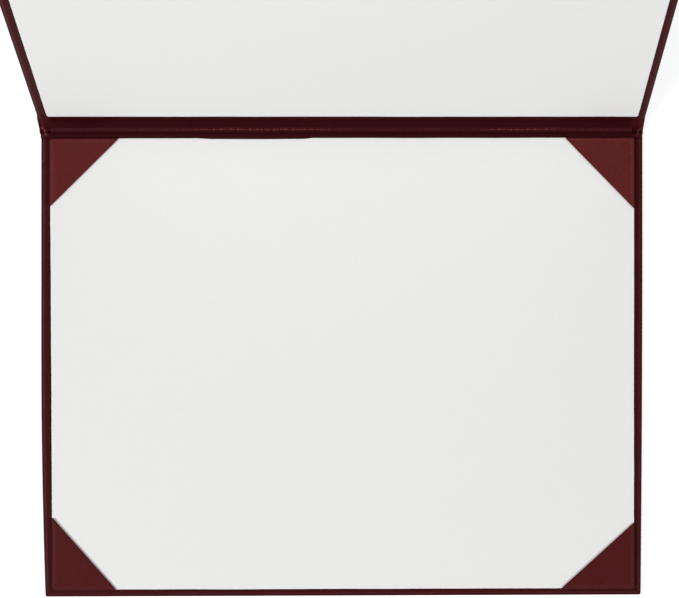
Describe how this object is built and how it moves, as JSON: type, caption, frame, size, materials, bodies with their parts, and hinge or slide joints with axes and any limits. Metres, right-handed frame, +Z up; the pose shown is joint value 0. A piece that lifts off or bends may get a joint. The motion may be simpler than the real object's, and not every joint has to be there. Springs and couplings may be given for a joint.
{
  "type": "diploma cover",
  "caption": "Landscape leatherette diploma cover for a letter-size document: two stiff lined covers on a folding spine, with triangular corner pockets on the lower one.",
  "frame": {"origin": "middle of the lower cover's underside, which lies on the table", "axes": "+X to the right along the spine, +Y from the free edge of the lower cover to the spine, +Z up"},
  "size_m": [0.288, 0.3337, 0.2046],
  "materials": {
    "leatherette": "satin",
    "greyboard": "matte",
    "lining": "matte"
  },
  "bodies": {
    "lower_cover": {"lower_cover_skin": "leatherette", "lower_board": "greyboard", "lower_hinge_strip": "leatherette", "lower_lining": "lining", "pocket_hinge_left": "leatherette", "pocket_hinge_right": "leatherette", "pocket_front_left": "leatherette", "pocket_front_right": "leatherette"},
    "spine": {"spine_skin": "leatherette", "spine_stiffener": "greyboard", "spine_lining": "leatherette"},
    "upper_cover": {"upper_cover_skin": "leatherette", "upper_board": "greyboard", "upper_hinge_strip": "leatherette", "upper_lining": "lining"}
  },
  "joints": [
    {"name": "spine_hinge", "type": "hinge", "parent": "lower_cover", "child": "spine", "pos_m": [0, 0.11212, 0.00085], "axis": [1, 0, 0], "range_deg": [-48, 42]},
    {"name": "cover_hinge", "type": "hinge", "parent": "spine", "child": "upper_cover", "pos_m": [0, 0.11748, 0.00679], "axis": [1, 0, 0], "range_deg": [-14, 76]}
  ]
}
